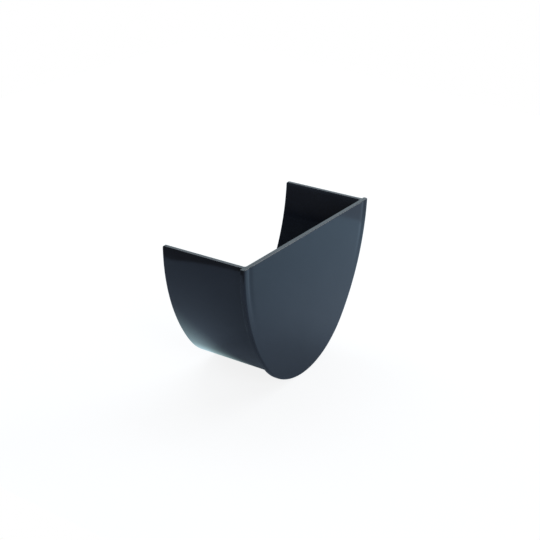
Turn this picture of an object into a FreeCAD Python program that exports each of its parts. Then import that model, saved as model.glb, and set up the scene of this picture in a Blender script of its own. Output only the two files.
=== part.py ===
"""Stop end for a deep rainwater gutter, moulded in one piece.

A flat D-shaped plate closes the gutter. A channel-shaped skirt stands out from its inner face
and goes into the gutter fitting. The plate's rim overhangs the skirt all the way round, and
stops against the end of the fitting.

Frame, in millimetres: X across the gutter, Y along it with the skirt's open end at +Y, Z up.
The origin is below the middle of the part, level with the lowest point of the rim.
"""

import FreeCAD, Part
import math
import os

Vector = FreeCAD.Vector

# Outline of the skirt, outside, at its root
skirt_width = 112.0
skirt_depth = 75.0
side_radius = 96.0
bottom_radius = 44.5

# Skirt
skirt_length = 45.0
wall_at_root = 2.3
wall_at_end = 2.1
draw_in_at_end = 0.15

# End plate
plate_thickness = 2.4
rim_overhang = 2.0

# Rounded edges
rim_round = 1.0
root_fillet = 1.0
end_corner_round = 0.9
edge_round = 0.35

# Levels that follow from the sizes above
top_z = skirt_depth + rim_overhang
bottom_centre_z = rim_overhang + bottom_radius
front_y = -(plate_thickness + skirt_length) / 2
shoulder_y = front_y + plate_thickness
end_y = shoulder_y + skirt_length

# Two points nearer than this count as one
touch = 0.001


def side_arc_centre():
    """Centre (x, z) of the right-hand side arc.

    It lies side_radius from the skirt's top corner, and the difference of the two radii from
    the bottom arc's centre, so that the arcs run into each other with no corner.
    """
    corner_x = skirt_width / 2
    drop = top_z - bottom_centre_z
    span = math.hypot(corner_x, drop)
    along = (span**2 + side_radius**2 - (side_radius - bottom_radius) ** 2) / (2 * span)
    across = math.sqrt(side_radius**2 - along**2)
    x = corner_x - (along * corner_x + across * drop) / span
    z = top_z - (along * drop - across * corner_x) / span
    return x, z


side_x, side_z = side_arc_centre()
join_angle = math.atan2(side_z - bottom_centre_z, -side_x)


def angle_at_height(inset, z):
    """Angle below +X at which the side arc, moved in by inset, crosses height z."""
    return math.asin((side_z - z) / (side_radius - inset))


def side_point(inset, angle, y):
    """Point on the right-hand side arc, moved in by inset, at an angle below +X."""
    radius = side_radius - inset
    return Vector(side_x + radius * math.cos(angle), y, side_z - radius * math.sin(angle))


def mirrored(point):
    """The same point on the other side of the gutter's centre line."""
    return Vector(-point.x, point.y, point.z)


def channel_arcs(inset, start_angle, y):
    """The outline moved in by inset, at station y, as three arcs from the right to the left.

    start_angle says how high up the sides the outline begins and ends.
    """
    top = side_point(inset, start_angle, y)
    flank = side_point(inset, (start_angle + join_angle) / 2, y)
    join = side_point(inset, join_angle, y)
    lowest = Vector(0, y, rim_overhang + inset)
    return [
        Part.Arc(top, flank, join).toShape(),
        Part.Arc(join, lowest, mirrored(join)).toShape(),
        Part.Arc(mirrored(join), mirrored(flank), mirrored(top)).toShape(),
    ]


def edges_along(shape, path):
    """Edges of the shape that lie on the path's edges."""
    track = Part.Compound(path)

    def on_track(edge):
        middle = edge.valueAt((edge.FirstParameter + edge.LastParameter) / 2)
        points = [vertex.Point for vertex in edge.Vertexes] + [middle]
        return all(Part.Vertex(point).distToShape(track)[0] < touch for point in points)

    return [edge for edge in shape.Edges if on_track(edge)]


def in_plane(edge, axis, level):
    """True where the whole edge lies at one level of the named axis."""
    box = edge.BoundBox
    low = getattr(box, axis + "Min")
    high = getattr(box, axis + "Max")
    return abs(low - level) < touch and abs(high - level) < touch


def plate_solid():
    """D-shaped end plate, as wide as the skirt and its overhang, with its front rim rounded."""
    outline = channel_arcs(-rim_overhang, angle_at_height(-rim_overhang, top_z), front_y)
    right_top = outline[0].Vertexes[0].Point
    straight_top = Part.makeLine(mirrored(right_top), right_top)
    face = Part.Face(Part.Wire(outline + [straight_top]))
    plate = face.extrude(Vector(0, plate_thickness, 0))
    return plate.makeFillet(rim_round, edges_along(plate, outline))


def skirt_section(inset, wall, start_angle, y):
    """Closed section of the skirt's wall at station y: arcs outside and inside, joined on top."""
    outside = channel_arcs(inset, start_angle, y)
    inside = channel_arcs(inset + wall, start_angle, y)
    outer_top = outside[0].Vertexes[0].Point
    inner_top = inside[0].Vertexes[0].Point
    right_end = Part.makeLine(inner_top, outer_top)
    left_end = Part.makeLine(mirrored(outer_top), mirrored(inner_top))
    return Part.Wire([right_end] + outside + [left_end] + inside[::-1])


def skirt_solid():
    """Channel-shaped skirt, drawn in and thinned a little towards its open end.

    The walls are made wall_at_root too high and cut off level, and the two corners that
    leaves at the open end are rounded.
    """
    start_angle = angle_at_height(0, top_z + wall_at_root)
    root = skirt_section(0, wall_at_root, start_angle, shoulder_y)
    end = skirt_section(draw_in_at_end, wall_at_end, start_angle, end_y)
    walls = Part.makeLoft([root, end], True, True)
    above = Part.makeBox(
        2 * skirt_width,
        2 * skirt_length,
        skirt_depth,
        Vector(-skirt_width, shoulder_y - skirt_length / 2, top_z),
    )
    skirt = walls.cut(above)
    corners = [
        edge for edge in skirt.Edges if in_plane(edge, "Z", top_z) and in_plane(edge, "Y", end_y)
    ]
    return skirt.makeFillet(end_corner_round, corners)


def runs_across_wall(edge):
    """True for a short edge along X, where a rounded end corner meets the wall's flat edges."""
    box = edge.BoundBox
    return box.YLength < touch and box.ZLength < touch and box.XLength < 2 * wall_at_root


def on_end_corner(edge):
    """True where the edge lies on one of the skirt's two rounded end corners."""
    box = edge.BoundBox
    beyond = box.YMin > end_y - end_corner_round - touch
    above = box.ZMin > top_z - end_corner_round - touch
    return beyond and above


def outline_edges(shape):
    """Every edge round the open top, down the end corners and round the skirt's open end."""
    return [
        edge
        for edge in shape.Edges
        if (in_plane(edge, "Z", top_z) or in_plane(edge, "Y", end_y) or on_end_corner(edge))
        and not runs_across_wall(edge)
    ]


def stop_end():
    """Plate and skirt in one solid, with the fillet inside their corner and the rounded edges.

    Outside, the shoulder meets the skirt in a sharp corner, so that the fitting seats flush.
    """
    body = plate_solid().fuse(skirt_solid()).removeSplitter()
    root_line = channel_arcs(wall_at_root, angle_at_height(wall_at_root, top_z), shoulder_y)
    body = body.makeFillet(root_fillet, edges_along(body, root_line))
    return body.makeFillet(edge_round, outline_edges(body))


os.makedirs("parts", exist_ok=True)
stop_end().exportStep("parts/stop_end.step")
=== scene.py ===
import math

import bmesh
import bpy
import numpy as np
from mathutils import Matrix, Vector


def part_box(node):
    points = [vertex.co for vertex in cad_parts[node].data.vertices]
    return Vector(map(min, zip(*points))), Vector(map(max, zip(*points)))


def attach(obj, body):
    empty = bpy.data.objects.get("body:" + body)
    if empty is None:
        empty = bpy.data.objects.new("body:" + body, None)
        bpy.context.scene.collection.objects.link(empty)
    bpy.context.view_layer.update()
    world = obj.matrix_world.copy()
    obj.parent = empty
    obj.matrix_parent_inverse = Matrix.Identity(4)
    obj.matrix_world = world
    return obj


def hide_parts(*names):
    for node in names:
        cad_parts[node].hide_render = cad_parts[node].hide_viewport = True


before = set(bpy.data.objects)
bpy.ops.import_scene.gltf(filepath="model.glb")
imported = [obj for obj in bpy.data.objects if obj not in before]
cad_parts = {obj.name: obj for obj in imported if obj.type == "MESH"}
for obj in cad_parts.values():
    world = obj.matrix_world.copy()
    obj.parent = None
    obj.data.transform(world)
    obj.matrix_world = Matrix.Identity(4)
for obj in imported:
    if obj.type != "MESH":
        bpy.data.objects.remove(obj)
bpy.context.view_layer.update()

# The moulding's sizes, in metres, the same as the solid's. Y runs along the gutter, with the
# plate's outer face at the low end and the skirt's open end at the high one.
skirt_width = 0.112
side_radius = 0.096
bottom_radius = 0.0445
wall_at_root = 0.0023
wall_at_end = 0.0021
draw_in_at_end = 0.00015
plate_thickness = 0.0024
rim_overhang = 0.002
rim_round = 0.001
root_fillet = 0.001
end_corner_round = 0.0009
edge_round = 0.00035

# Finer rounds that only the skin has: the rim's back edge, the corner where the shoulder meets
# the skirt, and the edge along the shoulder's top
back_round = 0.00015
shoulder_fillet = 0.00015
shoulder_edge_round = 0.00011

# Where the skirt joins the plate the thick corner has shrunk as it cooled, and has drawn the
# plate's outer face in: a shallow groove, centred this far inside the skirt's outline, which
# runs out between two heights on its way down
sink_depth = 0.0002
sink_centre = 0.0022
sink_width = 0.0018
sink_heights = (0.036, 0.0765)

# A flat or a wall has a row of points this far from each round, so that it shades as flat
support = 0.00003

# How finely the skin is divided: rows round half the outline, then steps round each edge and
# along each stretch
bottom_rows = 30
side_rows = 46
corner_rows = 6
rim_steps = 12
back_steps = 5
fillet_steps = 10
edge_steps = 6
edge_flat_steps = 6
skirt_steps = 36
top_steps = 60
flank_steps = 5
strip_steps = 4

# Along the skirt the points lie closer together at the root, the open end and the top
root_step = 0.25
end_step = 0.12

# Points that lie nearer than this are one point
merge_distance = 1e-6

box_low, box_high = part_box("stop_end")
front_y = box_low.y
end_y = box_high.y
top_z = box_high.z
shoulder_y = front_y + plate_thickness
skirt_length = end_y - shoulder_y
bottom_z = rim_overhang + bottom_radius
corner_y = end_y - end_corner_round
corner_z = top_z - end_corner_round
outer_root_y = shoulder_y + shoulder_fillet
inner_root_y = shoulder_y + root_fillet


def side_arc_centre():
    """Centre (x, z) of the right-hand side arc: side_radius from the skirt's top corner, and the
    difference of the two radii from the bottom arc's centre, so that the arcs are tangent."""
    corner_x = skirt_width / 2
    drop = top_z - bottom_z
    span = math.hypot(corner_x, drop)
    along = (span**2 + side_radius**2 - (side_radius - bottom_radius) ** 2) / (2 * span)
    across = math.sqrt(side_radius**2 - along**2)
    x = corner_x - (along * corner_x + across * drop) / span
    z = top_z - (along * drop - across * corner_x) / span
    return x, z


side_x, side_z = side_arc_centre()
join_turn = math.atan2(-side_x, side_z - bottom_z)


def turn_at(inset, z):
    """Turn of the side arc's outward normal away from straight down, where the outline moved in
    by inset crosses height z: the angle whose cosine is the depth below the centre over the
    radius."""
    return np.arccos((side_z - z) / (side_radius - inset))


def outline(inset, turn):
    """(x, z) on the three-arc outline moved in by inset, where its outward normal has turned from
    straight down: centre plus radius times (sine, minus cosine), on the bottom arc up to the
    join and on a side arc beyond it."""
    beyond = np.abs(turn) > join_turn
    centre_x = np.where(beyond, np.sign(turn) * side_x, 0.0)
    centre_z = np.where(beyond, side_z, bottom_z)
    radius = np.where(beyond, side_radius, bottom_radius) - inset
    return centre_x + radius * np.sin(turn), centre_z - radius * np.cos(turn)


def graded(first, last, count):
    """Numbers from 0 to 1 in count steps. The steps are even in the middle. Within a sixth of
    the way of each end they shrink evenly, to the share first of that at the start and to the
    share last at the end."""
    rate = 6
    place = np.linspace(0, 1, count)
    steps = np.minimum(1, first + rate * place) * np.minimum(1, last + rate * (1 - place))
    total = np.concatenate([[0], np.cumsum(steps)])
    return total / total[-1]


def quarter_turn(count):
    """Angles from 0 to a right angle in count even steps."""
    return np.linspace(0, math.pi / 2, count + 1)


def both_sides(half):
    """A half's row values mirrored to the left side: rows run from the left top to the right."""
    return np.concatenate([half[:0:-1], half])


# Rows go round the outline, from the left top to the right top. row_bottom and row_part say how
# far along the bottom arc and the side arc a row lies, and row_angle is the angle round the end
# corner, which the topmost rows follow.
half_rows = bottom_rows + side_rows + corner_rows
row_side = both_sides(np.ones(half_rows + 1))
row_side[:half_rows] = -1
row_bottom = both_sides(
    np.concatenate([np.linspace(0, 1, bottom_rows + 1), np.ones(side_rows + corner_rows)])
)
row_part = both_sides(
    np.concatenate(
        [np.zeros(bottom_rows + 1), graded(1, end_step, side_rows)[1:], np.ones(corner_rows)]
    )
)
row_angle = both_sides(
    np.concatenate([np.zeros(bottom_rows + 1 + side_rows), quarter_turn(corner_rows)[1:]])
)


def turn_of_row(bottom, part, inset, z):
    """Turn of the normal at a row: along the bottom arc to the join, then on towards height z."""
    return bottom * join_turn + part * (turn_at(inset, z) - join_turn)


def outer_inset(y):
    """The skirt's outside is drawn in evenly from its root to its open end."""
    return draw_in_at_end * (y - shoulder_y) / skirt_length


def inner_inset(y):
    """The skirt's inside: the draw in plus the wall, which thins evenly towards the end."""
    change = draw_in_at_end + wall_at_end - wall_at_root
    return wall_at_root + change * (y - shoulder_y) / skirt_length


class Columns:
    """Points of the profile that the skin carries round the outline: how far each lies inside
    the skirt's outline at the root, its station y, its normal (outwards, along y), and the
    radius of the edge above it."""

    def __init__(self):
        self.parts = []

    def add(self, inset, y, outward, along, top_round):
        """One more stretch of the profile. A single number holds for the whole stretch."""
        stretch = np.broadcast_arrays(inset, y, outward, along, top_round)
        self.parts.append(np.stack(stretch).astype(float))

    def table(self):
        """All stretches end to end, one row for each of the five values."""
        return np.concatenate(self.parts, axis=1)


def flat_run(length, between):
    """Places along a straight run as shares of its length: one support away from each end, and
    the given shares between."""
    return np.array([support / length, *between, 1 - support / length])


# The columns of the plate's outer face lie at these distances from the rim's round, and come in
# across the whole sink mark. Those of its inner face lie at these from the root fillet.
rim_in = rim_round - rim_overhang
outer_face_steps = np.concatenate([np.linspace(0.0078, 0.0004, 20), [0.00015, support]])
inner_face_steps = np.array([support, 0.0002, 0.0008, 0.0022, 0.0042, 0.0065])
face_inset = rim_in + outer_face_steps
inner_face_inset = wall_at_root + root_fillet + inner_face_steps


def sink_mark(inset):
    """How far the plate's outer face is drawn in: a bell curve across the groove, which is
    brought to nothing at the rim's round by a smooth step."""
    bell = np.exp(-(((inset - sink_centre) / sink_width) ** 2))
    reach = np.clip((inset - rim_in) / (sink_centre - rim_in), 0, 1)
    return sink_depth * bell * reach**2 * (3 - 2 * reach)


def outside_profile():
    """From the plate's front face, over the sink mark, round the rim and over the shoulder, to
    the root of the skirt: straight runs joined by quarter circles, given as centre plus radius
    times (sine, cosine)."""
    columns = Columns()
    columns.add(face_inset, front_y + sink_mark(face_inset), 0, -1, edge_round)

    angle = quarter_turn(rim_steps)
    sine, cosine = np.sin(angle), np.cos(angle)
    y = front_y + rim_round * (1 - cosine)
    columns.add(rim_in - rim_round * sine, y, sine, -cosine, edge_round)

    top = front_y + rim_round
    foot = shoulder_y - back_round
    run = flat_run(foot - top, (0.25, 0.5, 0.75))
    top_round = edge_round + run * (shoulder_edge_round - edge_round)
    columns.add(-rim_overhang, top + run * (foot - top), 1, 0, top_round)

    angle = quarter_turn(back_steps)
    sine, cosine = np.sin(angle), np.cos(angle)
    inset = -rim_overhang + back_round * (1 - cosine)
    columns.add(inset, foot + back_round * sine, cosine, sine, shoulder_edge_round)

    width = rim_overhang - back_round - shoulder_fillet
    run = flat_run(width, (0.3, 0.7))
    inset = -rim_overhang + back_round + run * width
    columns.add(inset, shoulder_y, 0, 1, shoulder_edge_round)

    sine, cosine = sine[:-1], cosine[:-1]
    y = shoulder_y + shoulder_fillet * (1 - cosine)
    columns.add(-shoulder_fillet * (1 - sine), y, sine, cosine, shoulder_edge_round)
    return columns.table()


def inside_profile():
    """From the root of the skirt's inside round the fillet, a quarter circle, to the plate's
    inner face."""
    columns = Columns()
    angle = quarter_turn(fillet_steps)[1:]
    sine, cosine = np.sin(angle), np.cos(angle)
    inset = wall_at_root + root_fillet * (1 - cosine)
    columns.add(inset, shoulder_y + root_fillet * (1 - sine), -cosine, sine, edge_round)
    columns.add(inner_face_inset, shoulder_y, 0, 1, edge_round)
    return columns.table()


def carried(profile):
    """The profile carried round the outline, row by row: x and z come from the outline moved in
    by each column's inset, up to a top row that is level, one edge radius below the top."""
    inset, y, _, _, top_round = profile
    z = corner_z + (end_corner_round - top_round) * np.sin(row_angle)[:, None]
    turn = turn_of_row(row_bottom[:, None], row_part[:, None], inset, z) * row_side[:, None]
    x, z = outline(inset, turn)
    return np.stack([x, np.broadcast_to(y, x.shape), z], axis=-1)


# An edge's points go round a quarter circle, and on by one support over the flat
edge_angle = np.append(quarter_turn(edge_steps), math.pi / 2)
edge_past = np.append(np.zeros(edge_steps + 1), support)


def edge_over(profile):
    """The edge above the profile's top row, on the right side: a quarter circle that starts
    upright at the top row and ends level, moved against each column's normal as it rises."""
    inset, y, outward, along, top_round = profile
    angle = edge_angle[:, None]
    back = top_round * (1 - np.cos(angle)) + edge_past[:, None]
    z = top_z - top_round * (1 - np.sin(angle))
    inset = inset + outward * back
    x, z = outline(inset, turn_at(inset, z))
    return np.stack([x, y - along * back, z], axis=-1)


# The edge along the skirt's outside starts as sharp as the shoulder's, and grows to its full
# round over this share of the skirt
growth_share = 1 / 14
skirt_share = graded(root_step, end_step, skirt_steps)
sharp_share = np.clip(1 - skirt_share / growth_share, 0, 1) ** 2
outer_top_round = edge_round + (shoulder_edge_round - edge_round) * sharp_share


def skirt_wall(first_y, inset_at, top_round):
    """One side of the skirt's wall, rows round the outline and columns along y: a cone's strip
    that ends one edge radius short of the top, the rounded end corner and the open end."""
    reach = end_corner_round - edge_round
    last = corner_y + reach * np.cos(row_angle)
    y = first_y + skirt_share * (last - first_y)[:, None]
    z = corner_z + (end_corner_round - top_round) * np.sin(row_angle)[:, None]
    turn = turn_of_row(row_bottom[:, None], row_part[:, None], inset_at(y), z) * row_side[:, None]
    x, z = outline(inset_at(y), turn)
    return np.stack([x, y, z], axis=-1)


def skirt_edge():
    """The skirt's free edge: a profile of round, flat and round, carried from the plate along
    one top, round the end corner, round the open end and back along the other top. Its points
    lie at a distance from the end corner's centre, in a direction that turns from up to along."""
    columns = len(skirt_share)
    rows = len(row_side)
    path_y = np.concatenate([skirt_share[:-1], np.ones(rows), skirt_share[-2::-1]])
    pad = np.ones(columns - 1)
    side = np.concatenate([-pad, row_side, pad])[:, None]
    bottom = np.concatenate([pad, row_bottom, pad])[:, None]
    part = np.concatenate([pad, row_part, pad])[:, None]
    angle = np.concatenate([pad * math.pi / 2, row_angle, pad * math.pi / 2])[:, None]
    outer_round = np.concatenate(
        [outer_top_round[:-1], np.full(rows, edge_round), outer_top_round[-2::-1]]
    )[:, None]

    flat = np.linspace(0, 1, edge_flat_steps + 1)[1:-1]
    bend = np.concatenate([edge_angle, np.full(len(flat), math.pi / 2), edge_angle[::-1]])
    past = np.concatenate([edge_past, np.zeros(len(flat)), edge_past[::-1]])
    across = np.concatenate([np.zeros(len(edge_angle)), flat, np.ones(len(edge_angle))])
    on_inside = across > 0.5
    on_flat = (across > 0) & (across < 1)

    place = np.arange(len(path_y))
    on_top = (place < columns - 1) | (place > len(path_y) - columns)
    top_round = np.where(on_inside, edge_round, outer_round)
    reach = end_corner_round - top_round * (1 - np.sin(bend))
    outer_base = np.where(on_top, outer_root_y + path_y * (corner_y - outer_root_y), corner_y)
    inner_base = np.where(on_top, inner_root_y + path_y * (corner_y - inner_root_y), corner_y)
    base = outer_base[:, None] * (1 - across) + inner_base[:, None] * across
    y = base + reach * np.cos(angle)
    z = corner_z + reach * np.sin(angle)

    back = top_round * (1 - np.cos(bend)) + past
    starts = outer_inset(y) + outer_round + support
    ends = inner_inset(y) - edge_round - support
    inset = np.where(on_inside, inner_inset(y) - back, outer_inset(y) + back)
    inset = np.where(on_flat, starts + across * (ends - starts), inset)
    turn = turn_of_row(bottom, part, inset, z) * side
    x, z = outline(inset, turn)
    return np.stack([x, y, z], axis=-1)


def length_share(edge):
    """How far along an edge each of its points lies, from 0 to 1: the summed distances from
    point to point over their total."""
    length = np.concatenate([[0], np.cumsum(np.linalg.norm(np.diff(edge, axis=0), axis=1))])
    return length / length[-1]


def surface_between(low, high, left, right):
    """Surface between four edges: the blend from low to high, plus the blend from left to right,
    less the blend of the four corners. Weights follow the length along the high and left edges."""
    u = length_share(high)[None, :, None]
    v = length_share(left)[:, None, None]
    sides = (1 - v) * low[None] + v * high[None] + (1 - u) * left[:, None] + u * right[:, None]
    lower = (1 - u) * low[0] + u * low[-1]
    upper = (1 - u) * high[0] + u * high[-1]
    return sides - (1 - v) * lower - v * upper


def plate_face(rim, top_line):
    """The plate's flat face inside its rim: four edges, of which the top line is one, and the
    rim's rows are shared out between the two sides and the bottom."""
    columns = len(top_line) - 1
    side = (len(rim) - 1 - columns) // 2
    left = rim[: side + 1][::-1]
    right = rim[-side - 1 :]
    low = rim[side : len(rim) - side]
    return surface_between(low, top_line, left, right)


class Skin:
    """Collects grids of points as one mesh. Points that two grids share are merged after."""

    def __init__(self):
        self.points = []
        self.quads = []
        self.rest = []
        self.count = 0

    def grid(self, points):
        """Rows and columns of points, with a four-cornered face between each two of both."""
        rows, columns = points.shape[:2]
        index = self.count + np.arange(rows * columns).reshape(rows, columns)
        corners = [index[:-1, :-1], index[1:, :-1], index[1:, 1:], index[:-1, 1:]]
        self.points.append(points.reshape(-1, 3))
        self.quads.append(np.stack(corners, axis=-1).reshape(-1, 4))
        self.count += rows * columns

    def face(self, points):
        """One flat face, by the points round it."""
        self.points.append(points)
        self.rest.append(list(range(self.count, self.count + len(points))))
        self.count += len(points)


def mirrored(points):
    """The same points on the other side of the gutter's centre line: x changes its sign."""
    return points * np.array([-1.0, 1.0, 1.0])


def plate_edge(side, share):
    """One long top edge of the plate: the points at its right end, with x times each share."""
    points = side[:, None] * np.ones((1, len(share), 1))
    points[..., 0] *= share
    return points


def moulding_mesh():
    """The whole skin of the moulding, closed: rim and shoulder, skirt outside and inside, the
    skirt's free edge, the plate's two faces, and the flat top with its rounded edges."""
    skin = Skin()
    outside = outside_profile()
    inside = inside_profile()
    outer_wall = skirt_wall(outer_root_y, outer_inset, outer_top_round)
    inner_wall = skirt_wall(inner_root_y, inner_inset, edge_round)
    rim = carried(outside)
    fillet = carried(inside)

    # The sink mark is whole at the top and runs out below, by a smooth step between two heights
    on_face = slice(0, len(face_inset))
    low, high = sink_heights
    rise = np.clip((rim[:, on_face, 2] - low) / (high - low), 0, 1)
    rim[:, on_face, 1] -= (1 - rise**2 * (3 - 2 * rise)) * sink_mark(face_inset)

    skin.grid(np.concatenate([rim, outer_wall], axis=1))
    skin.grid(np.concatenate([inner_wall[:, ::-1], fillet], axis=1))
    edge = skirt_edge()
    skin.grid(edge)

    # The root of the skirt's free edge ends each run of rounded edges along the plate
    rounds = len(edge_angle)
    outer_start = edge[-1, :rounds][:, None]
    inner_start = edge[-1, -rounds:][::-1][:, None]
    outer_edge = np.concatenate([edge_over(outside), outer_start], axis=1)
    inner_edge = np.concatenate([inner_start, edge_over(inside)], axis=1)
    for run in (outer_edge, inner_edge):
        skin.grid(run)
        skin.grid(mirrored(run))

    # The plate's two long top edges go from side to side by shares of their half width
    centre = np.linspace(-1, 1, top_steps + 1)
    inner_reach = inner_edge[-1, -1, 0]
    outer_reach = outer_edge[-1, 0, 0]
    flank = np.linspace(inner_reach, outer_reach, flank_steps + 1)[1:] / outer_reach
    outer_share = np.concatenate([-flank[::-1], centre * inner_reach / outer_reach, flank])
    front_edge = plate_edge(outer_edge[:, 0], outer_share)
    rear_edge = plate_edge(inner_edge[:, -1], centre)
    skin.grid(front_edge)
    skin.grid(rear_edge)
    skin.grid(plate_face(rim[:, 0], front_edge[0]))
    skin.grid(plate_face(fillet[:, -1], rear_edge[0]))

    # The flat top: a strip along the plate, and one face at each corner
    front_line = front_edge[-1]
    rear_line = rear_edge[-1]
    middle = front_line[flank_steps:-flank_steps]
    across = np.linspace(0, 1, strip_steps + 1)[:, None, None]
    strip = middle * (1 - across) + rear_line * across
    skin.grid(strip)
    corner = np.concatenate(
        [
            front_line[-flank_steps - 1 :],
            outer_edge[-1, 1:],
            edge[-1, rounds:-rounds],
            inner_edge[-1],
            strip[-2:0:-1, -1],
        ]
    )
    skin.face(corner)
    skin.face(mirrored(corner))
    return skin


def piece_from(skin, name):
    """Puts the collected grids into one mesh, merges what they share and turns faces outwards."""
    mesh = bpy.data.meshes.new(name)
    faces = np.concatenate(skin.quads).tolist() + skin.rest
    mesh.from_pydata(np.concatenate(skin.points).tolist(), [], faces)
    work = bmesh.new()
    work.from_mesh(mesh)
    bmesh.ops.remove_doubles(work, verts=work.verts, dist=merge_distance)
    bmesh.ops.recalc_face_normals(work, faces=work.faces)
    work.to_mesh(mesh)
    work.free()
    mesh.shade_smooth()
    piece = bpy.data.objects.new(name, mesh)
    bpy.context.scene.collection.objects.link(piece)
    return piece


def worn_edges(mesh):
    """Marks every point from 0 to 1 by how sharply the skin bends outwards there: the angle
    between two faces that share an edge, over the distance between their centres, times the
    radius of the sharpest round. Neighbours then share the mark a few times, so that it fades
    out: each point takes the mean of its own and theirs, or a share of its own if that is more."""
    spread_times = 4
    kept_share = 0.8
    loop_edge = np.empty(len(mesh.loops), dtype=np.int64)
    mesh.loops.foreach_get("edge_index", loop_edge)
    sides = np.empty(len(mesh.polygons), dtype=np.int64)
    mesh.polygons.foreach_get("loop_total", sides)
    normal = np.empty(len(mesh.polygons) * 3)
    mesh.polygons.foreach_get("normal", normal)
    centre = np.empty(len(mesh.polygons) * 3)
    mesh.polygons.foreach_get("center", centre)
    ends = np.empty(len(mesh.edges) * 2, dtype=np.int64)
    mesh.edges.foreach_get("vertices", ends)
    normal = normal.reshape(-1, 3)
    centre = centre.reshape(-1, 3)
    ends = ends.reshape(-1, 2)
    loop_face = np.repeat(np.arange(len(sides)), sides)
    first, second = loop_face[np.argsort(loop_edge, kind="stable")].reshape(-1, 2).T

    between = centre[second] - centre[first]
    distance = np.maximum(np.linalg.norm(between, axis=1), merge_distance)
    cosine = np.clip(np.sum(normal[first] * normal[second], axis=1), -1, 1)
    outwards = np.sum(normal[first] * between, axis=1) < 0
    bend = np.where(outwards, np.arccos(cosine) / distance, 0) * edge_round
    mark = np.zeros(len(mesh.vertices))
    np.maximum.at(mark, ends.ravel(), np.repeat(np.clip(bend, 0, 1), 2))
    for _ in range(spread_times):
        total = np.zeros(len(mark))
        count = np.zeros(len(mark))
        np.add.at(total, ends[:, 0], mark[ends[:, 1]])
        np.add.at(total, ends[:, 1], mark[ends[:, 0]])
        np.add.at(count, ends.ravel(), 1)
        mark = np.maximum(mark * kept_share, (mark + total) / (1 + count))
    layer = mesh.attributes.new("edge_wear", "FLOAT", "POINT")
    layer.data.foreach_set("value", mark.astype(np.float32))


moulding = piece_from(moulding_mesh(), "stop_end_moulding")
worn_edges(moulding.data)


class Group:
    """A shader node group with named sockets. Its nodes are wired by name."""

    def __init__(self, name, inputs, outputs):
        self.tree = bpy.data.node_groups.new(name, "ShaderNodeTree")
        for socket, (kind, value) in inputs.items():
            made = self.tree.interface.new_socket(socket, in_out="INPUT", socket_type=kind)
            if value is not None:
                made.default_value = value
        for socket, kind in outputs.items():
            self.tree.interface.new_socket(socket, in_out="OUTPUT", socket_type=kind)
        self.given = self.tree.nodes.new("NodeGroupInput")
        self.result = self.tree.nodes.new("NodeGroupOutput")


def put(inputs, values):
    """Sets or links the named sockets of one node."""
    for socket, value in values.items():
        target = inputs[socket]
        if isinstance(value, bpy.types.NodeSocket):
            target.node.id_data.links.new(value, target)
        else:
            target.default_value = value


def noise(tree, vector, scale, detail, roughness=0.5, distortion=0.0):
    """Soft noise around a half: layers of it, each finer and weaker than the one before."""
    node = tree.nodes.new("ShaderNodeTexNoise")
    put(node.inputs, {"Vector": vector, "Scale": scale, "Detail": detail})
    put(node.inputs, {"Roughness": roughness, "Distortion": distortion})
    return node.outputs["Fac"]


def math_node(tree, operation, *values):
    """One sum on numbers or sockets, as the operation names it."""
    node = tree.nodes.new("ShaderNodeMath")
    node.operation = operation
    put(node.inputs, dict(enumerate(values)))
    return node.outputs[0]


def mapped(tree, value, low, high, to_low=0.0, to_high=1.0):
    """A value stretched from one range to another and held inside it, with soft ends."""
    node = tree.nodes.new("ShaderNodeMapRange")
    node.interpolation_type = "SMOOTHSTEP"
    put(node.inputs, {"Value": value, "From Min": low, "From Max": high})
    put(node.inputs, {"To Min": to_low, "To Max": to_high})
    return node.outputs["Result"]


def turned(tree, vector, turn, scale):
    """The pattern's coordinates turned and stretched, so that it runs along one direction."""
    node = tree.nodes.new("ShaderNodeMapping")
    put(node.inputs, {"Vector": vector, "Rotation": turn, "Scale": scale})
    return node.outputs["Vector"]


def placed(tree, group, values):
    """A node group put to use in a material, with its own values."""
    node = tree.nodes.new("ShaderNodeGroup")
    node.node_tree = group
    put(node.inputs, values)
    return node.outputs


def blended(tree, amount, first, second):
    """The first colour where the amount is 0, the second where it is 1, and mixed between."""
    node = tree.nodes.new("ShaderNodeMix")
    node.data_type = "RGBA"
    for socket, value in (("Factor_Float", amount), ("A_Color", first), ("B_Color", second)):
        target = next(each for each in node.inputs if each.identifier == socket)
        if isinstance(value, bpy.types.NodeSocket):
            tree.links.new(value, target)
        else:
            target.default_value = value
    return next(each for each in node.outputs if each.identifier == "Result_Color")


number = "NodeSocketFloat"
point = "NodeSocketVector"


def moulded_skin_group():
    """Height and unevenness of a moulded gloss skin: the mould's fine polish, the orange peel
    over it, and the slow waves that the flow of the plastic leaves. Each is soft noise times its
    amount, and the height is their sum."""
    group = Group(
        "moulded_skin",
        {
            "Vector": (point, None),
            "Polish": (number, 0.1),
            "Peel": (number, 0.3),
            "Flow": (number, 0.6),
        },
        {"Height": number, "Unevenness": number},
    )
    tree = group.tree
    given = group.given.outputs
    drawn_out = turned(tree, given["Vector"], turn=(0, 0, 0), scale=(1, 0.6, 1.3))
    polish = noise(tree, given["Vector"], scale=5200, detail=2, roughness=0.6)
    peel = noise(tree, given["Vector"], scale=620, detail=3, roughness=0.55)
    flow = noise(tree, drawn_out, scale=52, detail=1.5, roughness=0.4, distortion=0.4)
    slow = math_node(tree, "MULTIPLY", flow, given["Flow"])
    both = math_node(tree, "MULTIPLY_ADD", peel, given["Peel"], slow)
    height = math_node(tree, "MULTIPLY_ADD", polish, given["Polish"], both)
    uneven = math_node(tree, "MULTIPLY_ADD", peel, 0.4, math_node(tree, "MULTIPLY", flow, 0.6))
    put(group.result.inputs, {"Height": height, "Unevenness": uneven})
    return tree


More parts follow.
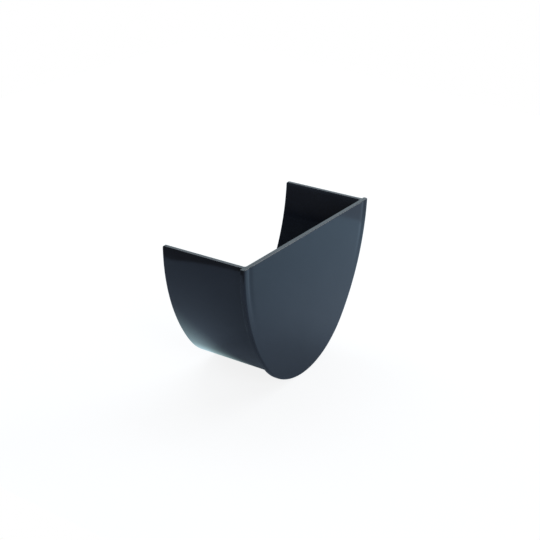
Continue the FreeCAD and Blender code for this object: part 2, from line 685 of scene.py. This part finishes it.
def handling_marks_group():
    """Hairlines left by stacking and handling: stretched noise in two crossing directions, of
    which only the peaks show, broken up so that they come in patches. And the rubbed edges: the
    points' marks for sharp bends, broken up by finer noise."""
    group = Group(
        "handling_marks",
        {"Vector": (point, None), "Edge": (number, 0.0), "Amount": (number, 0.3)},
        {"Hairlines": number, "Rubbed Edge": number},
    )
    tree = group.tree
    given = group.given.outputs
    lines = []
    for turn in ((0.2, 0.5, 0.9), (1.1, -0.4, -0.6)):
        along = turned(tree, given["Vector"], turn, scale=(60, 2600, 2600))
        peaks = noise(tree, along, scale=1.0, detail=1.0)
        lines.append(mapped(tree, peaks, 0.66, 0.74))
    patch = mapped(tree, noise(tree, given["Vector"], scale=70, detail=2), 0.5, 0.68)
    hairlines = math_node(tree, "MULTIPLY", math_node(tree, "MAXIMUM", *lines), patch)
    grains = noise(tree, given["Vector"], scale=900, detail=3, roughness=0.6)
    broken = mapped(tree, grains, 0.35, 0.7, to_low=0.35)
    rubbed = math_node(tree, "MULTIPLY", mapped(tree, given["Edge"], 0.12, 0.75), broken)
    for name, mark in (("Hairlines", hairlines), ("Rubbed Edge", rubbed)):
        put(group.result.inputs, {name: math_node(tree, "MULTIPLY", mark, given["Amount"])})
    return tree


def settled_dust_group():
    """Fine dust: specks from the cells of a pattern in patches, or a thin uneven film where that
    is more, both thicker on the faces that look up."""
    group = Group(
        "settled_dust",
        {"Vector": (point, None), "Up": (number, 0.0), "Amount": (number, 0.3)},
        {"Dust": number},
    )
    tree = group.tree
    given = group.given.outputs
    cells = tree.nodes.new("ShaderNodeTexVoronoi")
    put(cells.inputs, {"Vector": given["Vector"], "Scale": 900, "Randomness": 1.0})
    speck = mapped(tree, cells.outputs["Distance"], 0.16, 0.05)
    patch = mapped(tree, noise(tree, given["Vector"], scale=260, detail=1), 0.52, 0.62)
    cloud = noise(tree, given["Vector"], scale=95, detail=4, roughness=0.6)
    film = mapped(tree, cloud, 0.4, 0.8, to_high=0.3)
    facing = mapped(tree, given["Up"], -0.2, 1.0, to_low=0.25)
    whole = math_node(tree, "MAXIMUM", math_node(tree, "MULTIPLY", speck, patch), film)
    settled = math_node(tree, "MULTIPLY", whole, facing)
    put(group.result.inputs, {"Dust": math_node(tree, "MULTIPLY", settled, given["Amount"])})
    return tree


# The plastic's colour drifts between two shades. Rubbed edges and dust are paler.
plastic_shades = ((0.0075, 0.0094, 0.0162, 1), (0.0095, 0.0116, 0.0198, 1))
rubbed_colour = (0.045, 0.055, 0.065, 1)
dust_colour = (0.16, 0.17, 0.17, 1)

# The gloss of the clean skin, and how much each mark dulls it
gloss_range = (0.075, 0.1)
rubbed_dulling = 0.12
hairline_dulling = 0.2
dust_dulling = 0.35

# A hairline's depth in the skin's own height, and the height's scale in metres
hairline_height = -0.15
relief_height = 0.000012


def gutter_plastic():
    """Dark blue-grey gloss plastic: its colour drifts a little with the flow, the gloss is
    broken by the moulded skin, hairlines and dust, and the edges are rubbed paler."""
    material = bpy.data.materials.new("gutter_plastic")
    material.use_nodes = True
    tree = material.node_tree
    shader = tree.nodes["Principled BSDF"]
    place = tree.nodes.new("ShaderNodeTexCoord").outputs["Object"]
    wear = tree.nodes.new("ShaderNodeAttribute")
    wear.attribute_name = "edge_wear"
    facing = tree.nodes.new("ShaderNodeSeparateXYZ")
    put(facing.inputs, {"Vector": tree.nodes.new("ShaderNodeNewGeometry").outputs["Normal"]})
    edge = wear.outputs["Fac"]
    up = facing.outputs["Z"]

    skin = placed(
        tree, moulded_skin_group(), {"Vector": place, "Polish": 0.04, "Peel": 0.26, "Flow": 0.9}
    )
    marks = placed(tree, handling_marks_group(), {"Vector": place, "Edge": edge, "Amount": 0.5})
    dust = placed(tree, settled_dust_group(), {"Vector": place, "Up": up, "Amount": 0.32})["Dust"]
    hairlines = marks["Hairlines"]
    rubbed = marks["Rubbed Edge"]

    drift = mapped(tree, skin["Unevenness"], 0.3, 0.7)
    colour = blended(tree, drift, *plastic_shades)
    colour = blended(tree, rubbed, colour, rubbed_colour)
    colour = blended(tree, dust, colour, dust_colour)

    roughness = mapped(tree, skin["Unevenness"], 0.25, 0.75, *gloss_range)
    for mark, dulling in (
        (rubbed, rubbed_dulling),
        (hairlines, hairline_dulling),
        (dust, dust_dulling),
    ):
        roughness = math_node(tree, "MULTIPLY_ADD", mark, dulling, roughness)

    relief = tree.nodes.new("ShaderNodeBump")
    height = math_node(tree, "MULTIPLY_ADD", hairlines, hairline_height, skin["Height"])
    put(relief.inputs, {"Strength": 1.0, "Distance": relief_height, "Height": height})
    put(shader.inputs, {"Base Color": colour, "Roughness": roughness, "IOR": 1.5})
    put(shader.inputs, {"Normal": relief.outputs["Normal"]})
    return material


moulding.data.materials.append(gutter_plastic())
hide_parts("stop_end")
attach(moulding, "root")

# The camera's place in metres, its lens in millimetres and its three turns in degrees
camera_place = (-0.47082, -0.29401, 0.29518)
camera_lens = 80.68
camera_yaw = 58.106
camera_pitch = 23.771
camera_roll = 1.604


def look(place, yaw, pitch, roll):
    """Camera matrix from its place and three turns in degrees: yaw from +Y towards +X, pitch
    down, and roll, which lifts its right-hand side."""
    yaw, pitch, roll = (math.radians(turn) for turn in (yaw, pitch, roll))
    level = np.array([math.cos(yaw), -math.sin(yaw), 0.0])
    ahead = np.array([math.sin(yaw), math.cos(yaw), 0.0])
    forward = ahead * math.cos(pitch) - np.array([0.0, 0.0, math.sin(pitch)])
    raised = np.cross(level, forward)
    right = math.cos(roll) * level + math.sin(roll) * raised
    up = math.cos(roll) * raised - math.sin(roll) * level
    matrix = np.eye(4)
    matrix[:3, :3] = np.stack([right, up, -forward], axis=1)
    matrix[:3, 3] = place
    return Matrix(matrix.tolist())


camera_data = bpy.data.cameras.new("camera")
camera_data.lens = camera_lens
camera = bpy.data.objects.new("camera", camera_data)
camera.matrix_world = look(camera_place, camera_yaw, camera_pitch, camera_roll)
bpy.context.scene.collection.objects.link(camera)
bpy.context.scene.camera = camera

# The part rests on its rim and on the lower edge of the skirt's open end, so the table leans by
# the angle between them. Its slope is the rise from one to the other.
rim_foot = np.array([shoulder_y - back_round, 0.0])
skirt_foot = np.array([end_y - edge_round, rim_overhang + draw_in_at_end])
table_slope = (skirt_foot[1] - rim_foot[1]) / (skirt_foot[0] - rim_foot[0])

# A pale sheet lies under the part, and on its right side a greyer card. Its left edge is cut back
# beside the skirt's open end. The dark table shows past both, a little lower.
sheet_left = -0.165
sheet_right = 0.213
sheet_front = -0.6
sheet_back = 0.4
sheet_corners = [
    (sheet_left, sheet_front),
    (sheet_right, sheet_front),
    (sheet_right, sheet_back),
    (-0.143, sheet_back),
    (-0.142, 0.1),
    (-0.138, 0.09),
    (-0.152, 0.081),
    (-0.16, 0.071),
    (sheet_left, 0.06),
]
card_right = 0.5
table_reach = 2.5
table_drop = 0.002

# The pale sheet's colour goes evenly from its left edge's to its right edge's: painted shade,
# darker at the left, and painted light, paler at the right. In front of the part, between two
# values of y,
# it falls to a share of that: a painted shadow of the part.
pale_shaded_left = (0.4, 0.471, 0.585, 1)
pale_lit_right = (0.62, 0.77, 0.912, 1)
front_shadow_share = (0.83, 0.89, 0.91, 1)
front_shadow_span = (-0.125, -0.025)
card_colour = (0.4, 0.48, 0.57, 1)
table_colour = (0.158, 0.158, 0.158, 1)

# Reflections see all three glow by this share of their colour: a painted glow, seen only in
# reflections, that lifts the shade on the floor in them. On the pale sheet they also see a painted
# pool of light, as if from behind the part: it rises along one direction, and fades to the right
# and towards the back.
painted_reflection_glow = 0.1
painted_pool_colour = (0.64, 0.95, 0.93, 1)
painted_pool_direction = (0.77, 0.64, 0.0)
painted_pool_rise = (-0.0184, 0.0045)
painted_pool_right_fade = (-0.003, -0.028)
painted_pool_back_fade = (0.1, 0.05)


def painted_sheet_colour(tree):
    """The pale sheet's colour, with painted light and shade: an even blend across it, darker at
    the left, times a share that goes from the front one to one, a painted shadow in front of the
    part."""
    apart = tree.nodes.new("ShaderNodeSeparateXYZ")
    put(apart.inputs, {"Vector": tree.nodes.new("ShaderNodeTexCoord").outputs["Object"]})
    across = tree.nodes.new("ShaderNodeMapRange")
    put(across.inputs, {"Value": apart.outputs["X"]})
    put(across.inputs, {"From Min": sheet_left, "From Max": sheet_right})
    # painted shadow: the sheet is darker in front of the part
    near = mapped(tree, apart.outputs["Y"], *front_shadow_span)
    share = tree.nodes.new("ShaderNodeVectorMath")
    share.operation = "MULTIPLY"
    # painted shade at the left edge, painted light at the right
    even = blended(tree, across.outputs["Result"], pale_shaded_left, pale_lit_right)
    put(share.inputs, {0: even, 1: blended(tree, near, front_shadow_share, (1, 1, 1, 1))})
    return share.outputs[0]


def painted_light_pool(tree):
    """Where reflections see a painted pool of light on the sheet, as if from behind the part: a
    smooth step of the distance along one direction, times a smooth step that fades to the right
    and one that fades to the back."""
    place = tree.nodes.new("ShaderNodeTexCoord").outputs["Object"]
    apart = tree.nodes.new("ShaderNodeSeparateXYZ")
    put(apart.inputs, {"Vector": place})
    reach = tree.nodes.new("ShaderNodeVectorMath")
    reach.operation = "DOT_PRODUCT"
    put(reach.inputs, {0: place, 1: painted_pool_direction})
    lit = mapped(tree, reach.outputs["Value"], *painted_pool_rise)
    left = mapped(tree, apart.outputs["X"], *painted_pool_right_fade)
    near = mapped(tree, apart.outputs["Y"], *painted_pool_back_fade)
    return math_node(tree, "MULTIPLY", math_node(tree, "MULTIPLY", left, near), lit)


def matt(tree, colour):
    """A matt surface of one colour."""
    node = tree.nodes.new("ShaderNodeBsdfDiffuse")
    put(node.inputs, {"Color": colour})
    return node.outputs[0]


def glow(tree, colour, strength):
    """A glow of one colour."""
    node = tree.nodes.new("ShaderNodeEmission")
    put(node.inputs, {"Color": colour, "Strength": strength})
    return node.outputs[0]


def added(tree, first, second):
    """The sum of two shaders."""
    node = tree.nodes.new("ShaderNodeAddShader")
    put(node.inputs, {0: first, 1: second})
    return node.outputs[0]


def seen_white(name, diffuse_share, glow_share, colour=None):
    """A matt colour that lights the object, with a painted glow that only reflections see. The
    camera sees it lit up to white: a share of plain diffuse white, which keeps the shadow, and the
    rest a glow. With no colour given it is the pale sheet's, with its painted light and shade, and
    in reflections a painted pool of light as well."""
    material = bpy.data.materials.new(name)
    material.use_nodes = True
    material.cycles.emission_sampling = "NONE"
    tree = material.node_tree
    tree.nodes.clear()
    rays = tree.nodes.new("ShaderNodeLightPath")
    reflected = rays.outputs["Is Glossy Ray"]
    is_pale_sheet = colour is None
    own = painted_sheet_colour(tree) if is_pale_sheet else colour
    # painted glow: reflections see the sheet glow by a share of its own colour, which lifts its
    # shade
    beneath = math_node(tree, "MULTIPLY", reflected, painted_reflection_glow)
    lighting = added(tree, matt(tree, own), glow(tree, own, beneath))
    if is_pale_sheet:
        # painted pool of light on the pale sheet, seen only in reflections
        behind = math_node(tree, "MULTIPLY", reflected, painted_light_pool(tree))
        lighting = added(tree, lighting, glow(tree, painted_pool_colour, behind))
    shadowed = matt(tree, (diffuse_share, diffuse_share, diffuse_share, 1))
    white = added(tree, shadowed, glow(tree, (1, 1, 1, 1), glow_share))
    choice = tree.nodes.new("ShaderNodeMixShader")
    put(choice.inputs, {0: rays.outputs["Is Camera Ray"], 1: lighting, 2: white})
    output = tree.nodes.new("ShaderNodeOutputMaterial")
    put(output.inputs, {"Surface": choice.outputs[0]})
    return material


def sheet(name, corners, below, material):
    """A flat piece of the table, by the x and y of its corners. Each corner's height is the foot
    of the rim plus the slope times the way from it, less how far the piece lies below."""
    x, y = np.array(corners).T
    z = rim_foot[1] + table_slope * (y - rim_foot[0]) - below
    mesh = bpy.data.meshes.new(name)
    mesh.from_pydata(np.stack([x, y, z], axis=-1).tolist(), [], [tuple(range(len(corners)))])
    mesh.materials.append(material)
    flat = bpy.data.objects.new(name, mesh)
    bpy.context.scene.collection.objects.link(flat)


def rectangle(left, right, front, back):
    """The four corners of a rectangle, going round."""
    return [(left, front), (right, front), (right, back), (left, back)]


card_corners = rectangle(sheet_right, card_right, sheet_front, sheet_back)
table_corners = rectangle(-table_reach, table_reach, -table_reach, table_reach)
sheet("pale_sheet", sheet_corners, 0.0, seen_white("pale_sheet", 0.2, 0.86))
sheet("grey_card", card_corners, 0.0, seen_white("grey_card", 0.2, 0.86, card_colour))
sheet("dark_table", table_corners, table_drop, seen_white("dark_table", 0.0, 1.0, table_colour))


def hung_lamp(name, place, facing, width, height, radiance, colour):
    """A flat lamp at a place, with its back to the facing direction. Its power is how bright its
    face is, times pi and the area."""
    data = bpy.data.lights.new(name, "AREA")
    data.shape = "SQUARE" if width == height else "RECTANGLE"
    data.size = width
    data.size_y = height
    data.energy = radiance * math.pi * width * height
    data.color = colour
    lamp = bpy.data.objects.new(name, data)
    lamp.location = place
    lamp.rotation_mode = "QUATERNION"
    lamp.rotation_quaternion = facing.to_track_quat("Z", "Y")
    bpy.context.scene.collection.objects.link(lamp)


# Square soft lamps aimed at the part: direction round it from +X and rise, both in degrees, width
# in metres and brightness
lamp_distance = 0.9
lamp_tint = (0.93, 1.0, 1.08)
soft_lamps = {
    "key": (330, 28, 0.4, 3.9),
    "side": (90, 28, 0.4, 3.3),
    "fill": (240, 28, 0.4, 4.9),
    "right_high": (0, 56, 0.5, 2.25),
    "rear_high": (60, 56, 0.5, 2.75),
}
for name, (azimuth, rise, width, radiance) in soft_lamps.items():
    turn = math.radians(azimuth)
    lift = math.radians(rise)
    level = math.cos(lift)
    towards = Vector((math.cos(turn) * level, math.sin(turn) * level, math.sin(lift)))
    hung_lamp(name, towards * lamp_distance, towards, width, width, radiance, lamp_tint)

# One more lamp stands upright behind the part, as the camera sees it, and faces it
backdrop_tint = (0.83, 1.0, 1.07)
backdrop_width = 1.6
backdrop_height = 0.3
backdrop_middle = 0.48
backdrop_radiance = 0.93
away = Vector((math.sin(math.radians(camera_yaw)), math.cos(math.radians(camera_yaw)), 0.0))
hung_lamp(
    "backdrop",
    away * lamp_distance + Vector((0.0, 0.0, backdrop_middle)),
    away,
    backdrop_width,
    backdrop_height,
    backdrop_radiance,
    backdrop_tint,
)

# The room is dim for the object and white for the camera
room_colour = (0.066, 0.078, 0.09, 1)
world = bpy.data.worlds.new("world")
world.use_nodes = True
room = world.node_tree
dim = room.nodes["Background"]
put(dim.inputs, {"Color": room_colour, "Strength": 1.0})
white = room.nodes.new("ShaderNodeBackground")
put(white.inputs, {"Color": (1, 1, 1, 1), "Strength": 1.0})
rays = room.nodes.new("ShaderNodeLightPath")
choice = room.nodes.new("ShaderNodeMixShader")
put(choice.inputs, {0: rays.outputs["Is Camera Ray"], 1: dim.outputs[0], 2: white.outputs[0]})
put(room.nodes["World Output"].inputs, {"Surface": choice.outputs[0]})
bpy.context.scene.world = world
bpy.context.scene.view_settings.view_transform = "Standard"
